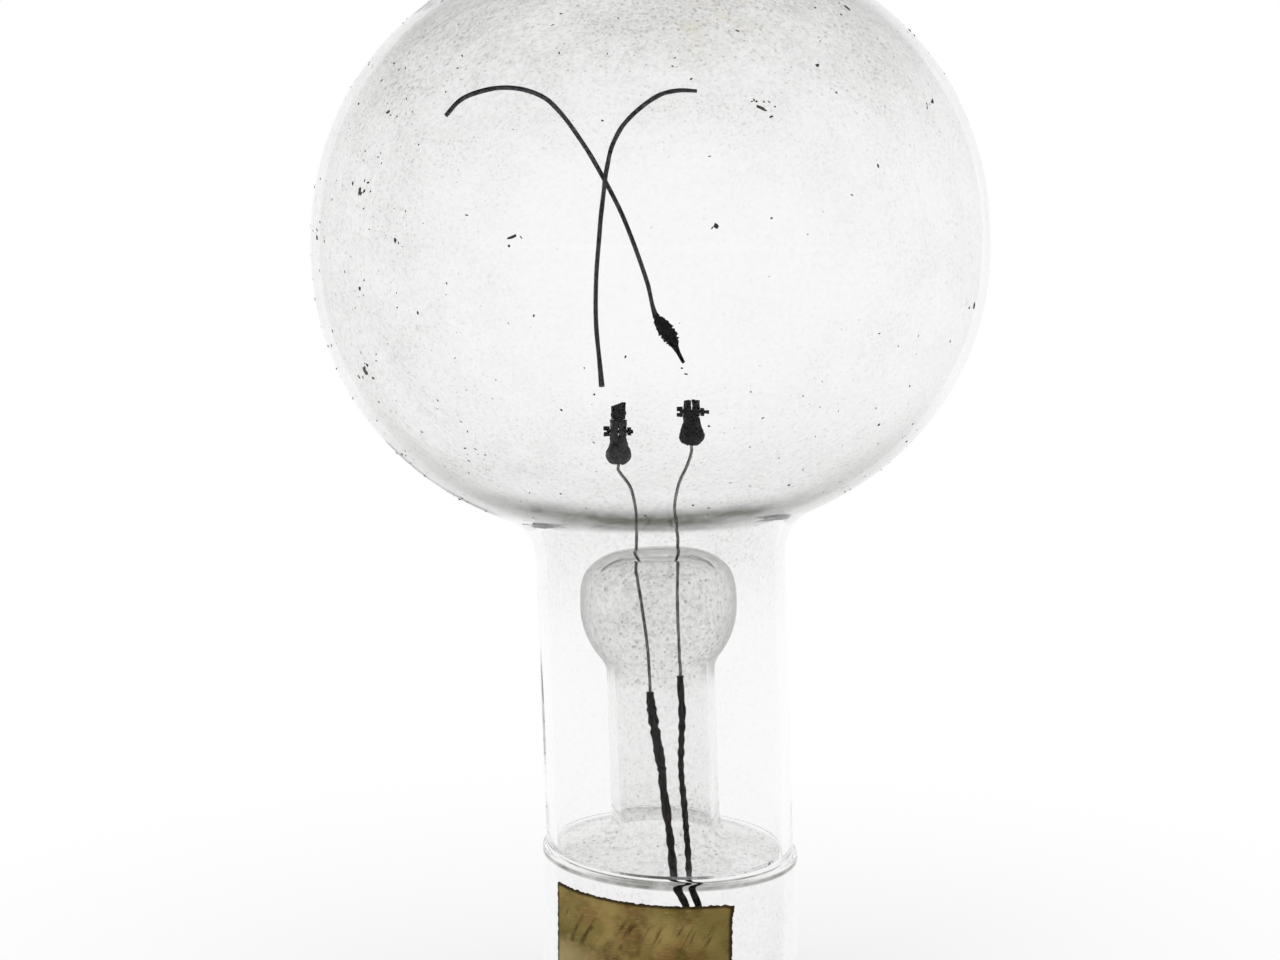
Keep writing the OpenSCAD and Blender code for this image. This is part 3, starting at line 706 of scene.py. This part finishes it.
# %% Routes as (across, height above the widest plane, extra width, lift off the wall)
THICK, REST = 0.65, 0.12
OVER, TAB = THICK + REST, 2.3 - THICK
long_route = [
    (-27, 19.5, -0.05, 0), (-25, 21.5, 0, 0), (-22.5, 22.75, 0, 0), (-19.5, 23.5, 0, 0), (-16, 23.25, 0, 0),
    (-13, 21.75, 0, 0), (-9, 16.5, 0, 0), (-6.2, 11.5, 0, 0), (-3.4, 5.5, 0, 0), (-0.4, -3.5, 0, 0),
    (0.6, -8.2, 0.15, 0), (1.9, -10.4, TAB, 0), (2.9, -12, 0.8 * TAB, 0), (3.6, -13.6, 0.15, 0),
    (4.5, -15.5, -0.15, 0)]
short_route = [
    (7.5, 22.9, -0.15, 0), (5, 23.1, -0.05, 0), (2.4, 22.7, 0, 0), (-0.2, 21.3, 0, 0), (-2.9, 19, 0, 0.1),
    (-4.7, 16.2, 0, 0.5 * OVER), (-5.7, 12.8, 0, OVER), (-6.2, 10, 0, OVER), (-7, 4.5, 0, 0.3 * OVER),
    (-7.8, -3, 0, 0), (-8, -9.2, 0, 0), (-7.6, -15.5, 0.05, 0), (-7.4, -18.5, 0.2, 0)]


def fragment(name, route, seed, node):
    """A broken length of filament against the far inner wall."""
    rings = []
    for i, (x, height, extra, lift) in enumerate(through(route, 12)):
        inset = GLOBE_WALL + REST + THICK / 2 + lift
        tall = (GLOBE_RISE if height > 0 else GLOBE_DROP) - inset
        wide = (GLOBE_R - inset) * (1 - (abs(height) / tall) ** GLOBE_POWER) ** (1 / GLOBE_POWER)
        at = leaned(x, math.sqrt(wide * wide - x * x), GLOBE_MID + height)
        uneven = 1.02 + 0.1 * noise.noise(Vector((i * 0.16, seed, 0)))
        ragged = 1 + 0.55 * noise.noise(Vector((i * 0.62, seed, 5))) if extra > 0.3 else 1
        rings.append((at, (THICK + extra) * uneven * ragged, (THICK + min(extra, 0)) * uneven, 0.0))
    points, faces = swept(rings, 14)
    made_piece(name, points, faces, CARBON, "carbon", node)


fragment("long_snapped_filament", long_route, 3, "long_filament_fragment")
fragment("short_snapped_filament", short_route, 8, "short_filament_fragment")

# %% [markdown]
# ## The paper label
#
# The label is a scrap of paper glued round the skirt, brown from age and darker where the glue has
# come through at its edges. Faded pen strokes are left on it, too faint to be read, so only slanting
# marks are drawn. It is a curved sheet with a real thickness, frayed along its edges and with a few
# creases, because a flat painted patch would look printed on the glass.


# %% Paper finish
def aged_paper():
    paper = finish("aged_label_paper")
    x = paper.along("X") - SEAL.x
    turn = paper.node("ShaderNodeMath", {"operation": "ARCTAN2"}, {0: x, 1: 0 - paper.along("Y")})
    across = turn * SKIRT_R
    z = paper.along("Z")
    spots = paper.cloud(4.5, 5.0).step(0.35, 0.68)
    fibre = paper.cloud(0.5, 4.0, paper.place(0.5, 0.5, 2.6))
    olive = paper.cloud(7.0, 2.0).step(0.45, 0.62)
    rusty = paper.cloud(3.4, 3.0, paper.place(1.0, 1.0, 1.3)).step(0.5, 0.66)
    colour = paper.mix(spots, tone(150, 129, 76), tone(84, 65, 22))
    colour = paper.mix(olive * 0.5, colour, tone(98, 92, 38))
    colour = paper.mix(rusty * 0.45, colour, tone(134, 98, 58))
    colour = paper.mix(fibre.step(0.5, 0.75) * 0.4, colour, tone(170, 150, 104))
    pale = across.step(-15, -6, 1.0, 0.0) * z.step(13.5, 16.5, 1.0, 0.0)
    dark = across.step(0, 5) * z.step(15, 18, 1.0, 0.5)
    colour = paper.mix(pale * 0.5, colour, tone(178, 162, 120))
    colour = paper.mix(dark * 0.4, colour, tone(84, 68, 24))
    slant = paper.node("ShaderNodeCombineXYZ", sockets={0: across - 0.55 * z, 1: z * 0.2, 2: 0.0})
    written = z.step(15.0, 16.0) * z.step(18.6, 19.6, 1.0, 0.0)
    strokes = paper.cloud(1.2, 2.5, slant).step(0.5, 0.6) * written
    faded = paper.cloud(3.2, 2.0).step(0.35, 0.58)
    colour = paper.mix((strokes * faded * 0.8).held(), colour, tone(66, 48, 10))
    first = -SKIRT_R * math.radians(LABEL_START)
    last, upper = first + LABEL_W, SEAL.z - LABEL_DROP
    left, right = across.step(first, first + 0.6, 1.0, 0.0), across.step(last - 0.7, last - 0.2)
    top = (z + x * math.tan(SLOPE)).step(upper - 0.5, upper - 0.1)
    foot = z.step(upper - LABEL_H + 0.2, upper - LABEL_H + 1.0, 1.0, 0.0)
    edge = (left + right + top + foot).held() * (0.5 + paper.cloud(0.8, 3.0))
    colour = paper.mix(edge.held(), colour, tone(46, 33, 10))
    return paper.surface(Base_Color=colour, Roughness=(0.72 + 0.2 * fibre).held(), Specular_IOR_Level=0.2,
                         Normal=paper.bump(fibre * 0.5 + spots * 0.5, 0.05))


# %% The label's sheet
def label_point(u, v, outward):
    """A point of the label: u round the skirt, v down from its top edge, both from 0 to 1."""
    fray = 0.16 * noise.noise(Vector((u * 40, v * 28, 1))) + 0.1 * noise.noise(Vector((u * 110, v * 80, 2)))
    round_it = u * LABEL_W + (fray * (1 if u > 0.5 else -1) if min(u, 1 - u) < 0.012 else 0)
    down = v * LABEL_H + (fray if min(v, 1 - v) < 0.012 else 0)
    angle = math.radians(270 - LABEL_START) + round_it / SKIRT_R
    crease = (0.05 * max(0, noise.noise(Vector((u * 9, v * 6, 4))))
              + 0.03 * abs(noise.noise(Vector((u * 26, v * 18, 6)))))
    corner = soft(0.93, 1.0, u) * soft(0.88, 0.99, 1 - v) * 0.5
    radius = SKIRT_R + 0.04 + (0.16 + crease if outward else 0) + corner
    x, y = radius * math.cos(angle), radius * math.sin(angle)
    return SEAL + Vector((x, y, -LABEL_DROP - down - x * math.tan(SLOPE)))


def label_sheet(columns, rows):
    """Two skins of the sheet, and the faces that close it round its edge."""
    points, faces = [], []
    for outward in (True, False):
        points += [label_point(i / columns, j / rows, outward)
                   for j in range(rows + 1) for i in range(columns + 1)]
    back, wide = (rows + 1) * (columns + 1), columns + 1
    for j in range(rows):
        for i in range(columns):
            a = j * wide + i
            faces.append((a, a + 1, a + 1 + wide, a + wide))
            faces.append((a + back, a + wide + back, a + 1 + wide + back, a + 1 + back))
    rim = ([j * wide for j in range(rows)] + [rows * wide + i for i in range(columns)]
           + [j * wide + columns for j in range(rows, 0, -1)] + [i for i in range(columns, 0, -1)])
    for a, b in zip(rim, rim[1:] + rim[:1]):
        faces.append((a, b, b + back, a + back))
    return points, faces


points, faces = label_sheet(180, 110)
made_piece("pasted_label", points, faces, aged_paper(), "aged_paper", "paper_label")

# %% [markdown]
# ## Crumbs on the glass
#
# The veil of dust is in the glass's colour, but the coarser crumbs stand on it and catch their own
# light. Each is a small ball with its points pushed about and then flattened onto the wall. They are
# scattered with a fixed seed, more of them on the crown, the left flank and low on the globe, and a
# few larger clusters sit in places of their own.


# %% Crumb finish and scatter
def crumb_finish():
    crumb = finish("dust_crumbs")
    tint = crumb.cloud(1.3, 2.0).step(0.35, 0.65)
    colour = crumb.mix(tint, tone(96, 92, 82), tone(44, 42, 38))
    return crumb.surface(Base_Color=colour, Roughness=(0.8 + 0.15 * tint).held())


def on_globe(x, height, front=True):
    """A point on the outside of the globe and the way out from it."""
    tall = GLOBE_RISE if height > 0 else GLOBE_DROP
    wide = GLOBE_R * (1 - (abs(height) / tall) ** GLOBE_POWER) ** (1 / GLOBE_POWER)
    x = max(-wide * 0.995, min(wide * 0.995, x))
    y = math.sqrt(wide * wide - x * x) * (-1 if front else 1)
    slope = abs(height) ** (GLOBE_POWER - 1) / tall ** GLOBE_POWER
    out = Vector((x / wide, y / wide, 0)) * wide ** (GLOBE_POWER - 1) / GLOBE_R ** GLOBE_POWER
    out.z = math.copysign(slope, height)
    return leaned(x, y, GLOBE_MID + height), (UP @ out).normalized()


def crumb(points, faces, at, out, size, chance):
    """Adds one small flattened lump to a list of points and faces."""
    ball = bmesh.new()
    bmesh.ops.create_icosphere(ball, subdivisions=1, radius=size)
    spin = Matrix.Rotation(chance.uniform(0, 6.3), 3, "Z")
    turn = Vector((0, 0, 1)).rotation_difference(out).to_matrix() @ spin
    long = chance.uniform(0.6, 1.7)
    first = len(points)
    for vertex in ball.verts:
        p = vertex.co * chance.uniform(0.6, 1.35)
        points.append(at + turn @ Vector((p.x * long, p.y / long, p.z * 0.35 + size * 0.1)))
    faces += [tuple(first + v.index for v in face.verts) for face in ball.faces]
    ball.free()


# %% Scattered crumbs, then the larger clusters as (across, height, size, how many)
FACES_OF_ONE, SCATTERED = 20, 800
chance = random.Random(11)
points, faces = [], []
while len(faces) < FACES_OF_ONE * SCATTERED:
    turn, level = chance.uniform(0, 2 * math.pi), chance.uniform(-0.9, 0.98)
    height = level * (GLOBE_RISE if level > 0 else GLOBE_DROP)
    wide = GLOBE_R * (1 - abs(level) ** GLOBE_POWER) ** (1 / GLOBE_POWER)
    x = wide * math.cos(turn)
    wanted = 0.04 + 0.4 * soft(0.25, 0.9, level) + 0.35 * soft(0.2, 0.9, -level) + 0.45 * soft(14, 36, -x)
    if chance.random() < wanted:
        at, out = on_globe(x, height, math.sin(turn) < 0)
        crumb(points, faces, at, out, 0.05 + 0.15 * chance.random() ** 3, chance)
CLUSTERS = (
    (-31.6, 6.3, 0.3, 7), (-38.4, 1.9, 0.22, 5), (-14.4, 0.2, 0.26, 3), (6.4, 0.5, 0.22, 2),
    (11.6, 12.5, 0.3, 8), (-32.6, -13.5, 0.34, 8), (36.6, -8.4, 0.26, 2), (31.5, 14.3, 0.26, 4),
    (22.3, 24.7, 0.26, 3), (-28.1, 14.7, 0.22, 4), (-32.1, -4.3, 0.2, 3), (-27.3, 0.6, 0.2, 2),
    (17.9, 17.3, 0.2, 1))
for x, height, size, many in CLUSTERS:
    for k in range(many):
        reach = 0.0 if k == 0 else 1.1
        at, out = on_globe(x + chance.uniform(-reach, reach), height + chance.uniform(-reach, reach))
        crumb(points, faces, at, out, size * (1.3 if k == 0 else chance.uniform(0.35, 0.8)), chance)
made_piece("dust_crumbs", points, faces, crumb_finish(), "carbon")

# %% [markdown]
# ## Studio: floor, white field and lamps
#
# Clear glass shows best in front of a bright field: it stays white where light comes straight
# through, and its edges darken where they bend the view away to something darker. So the field is
# white behind the lamp, greyer overhead and dark on the viewer's side, and only what is seen through
# or reflected in the glass meets those greys. What the eye sees directly is plain white. The floor
# is pale paper: it keeps the lamp's soft shadow near the foot and melts into the field further out.


# %% World
world = bpy.data.worlds.new("bright_field")
bpy.context.scene.world = world
field = Finish(world)
course = field.node("ShaderNodeTexCoord", output=0)
up, away = field.along("Z", course).size(), field.along("Y", course)
seen = field.node("ShaderNodeLightPath", output=0)
shiny = field.node("ShaderNodeLightPath", output=3)
clear = field.node("ShaderNodeLightPath", output=6)
white, light_on_lamp = tone(255, 255, 255), (0.72, 0.72, 0.72, 1)
bent = field.mix(up.step(0.3, 0.8), white, tone(110, 112, 110))
bent = field.mix(away.step(-0.55, 0.1), tone(70, 70, 72), bent)
level = field.mix((shiny + clear).held(), light_on_lamp, bent)
colour = field.mix(seen, level, white)
glow = field.node("ShaderNodeBackground", sockets={0: colour})
field.node("ShaderNodeOutputWorld", sockets={"Surface": glow})
print("world:", world.name)


# %% Floor
def floor_paper():
    paper = finish("floor_paper")
    far = paper.node("ShaderNodeVectorMath", {"operation": "LENGTH"}, {0: paper.place()}, output=1)
    grain = paper.cloud(0.8, 2.0)
    matt = paper.node("ShaderNodeBsdfPrincipled", sockets={
        "Base Color": paper.mix(grain * 0.2, tone(251, 251, 251), tone(246, 246, 246)), "Roughness": 0.9})
    light = paper.node("ShaderNodeEmission", sockets={"Color": (1, 1, 1, 1), "Strength": 1.0})
    seen = paper.node("ShaderNodeLightPath", output=0)
    shiny = paper.node("ShaderNodeLightPath", output=3)
    clear = paper.node("ShaderNodeLightPath", output=6)
    plain, bent = far.step(15, 150, 0.62, 1.0), (shiny + clear).held()
    share = (seen * plain + bent * (0.6 + 0.4 * plain)).held()
    mixed = paper.node("ShaderNodeMixShader", sockets={0: share, 1: matt, 2: light})
    paper.node("ShaderNodeOutputMaterial", sockets={"Surface": mixed})
    return paper.owner


def laid_flat(radius, height, angle):
    return Vector((radius * math.cos(angle), radius * math.sin(angle), height))


points, faces = turned([(radius, 0.0) for radius in (0, 60, 200, 600, 2000, 9000)], 64, laid_flat)
mesh = bpy.data.meshes.new("floor")
mesh.from_pydata([tuple(0.001 * v for v in p) for p in points], [], faces)
mesh.materials.append(floor_paper())
floor = bpy.data.objects.new("floor", mesh)
bpy.context.scene.collection.objects.link(floor)
print("floor", len(mesh.polygons), "faces")


# %% Lamps
def lamp(name, place, target, width, watts):
    """A square soft lamp that shines on a point; places in millimetres."""
    light = bpy.data.lights.new(name, "AREA")
    light.shape, light.size, light.energy = "SQUARE", width / 1000, watts
    holder = bpy.data.objects.new(name, light)
    holder.location = Vector(place) / 1000
    holder.rotation_euler = (Vector(target) - Vector(place)).to_track_quat("-Z", "Y").to_euler()
    holder.visible_camera = holder.visible_glossy = holder.visible_transmission = False
    bpy.context.scene.collection.objects.link(holder)


lamp("left_soft_lamp", (-700, -600, 620), (0, 0, 70), 600, 2.4)
lamp("right_soft_lamp", (760, -420, 480), (0, 0, 70), 500, 1.2)
lamp("back_soft_lamp", (150, 800, 700), (0, 0, 70), 700, 1.6)

# %% [markdown]
# ## Camera
#
# The lamp is seen from just under the middle of its globe, almost level, close enough that the crown
# and the foot leave the frame. A plain lens of about 50 mm does this and hardly tilts the uprights.
# Light goes through many walls of glass here, and a path that is cut short turns black, so paths may
# be long.

# %% Camera
camera = bpy.data.objects.new("camera", bpy.data.cameras.new("camera"))
camera.location = (-0.00129, -0.22256, 0.09105)
camera.rotation_euler = (math.radians(90 - 3.35), 0, 0)
camera.data.lens, camera.data.sensor_width, camera.data.shift_y = 50.447, 36.0, -0.05
camera.data.clip_start, camera.data.clip_end = 0.005, 50.0
bpy.context.scene.collection.objects.link(camera)
bpy.context.scene.camera = camera
bpy.context.scene.view_settings.view_transform = "Standard"
bpy.context.scene.cycles.max_bounces = 48
bpy.context.scene.cycles.transmission_bounces = 48
bpy.context.scene.cycles.glossy_bounces = 32
print("camera at", [round(v, 4) for v in camera.location])
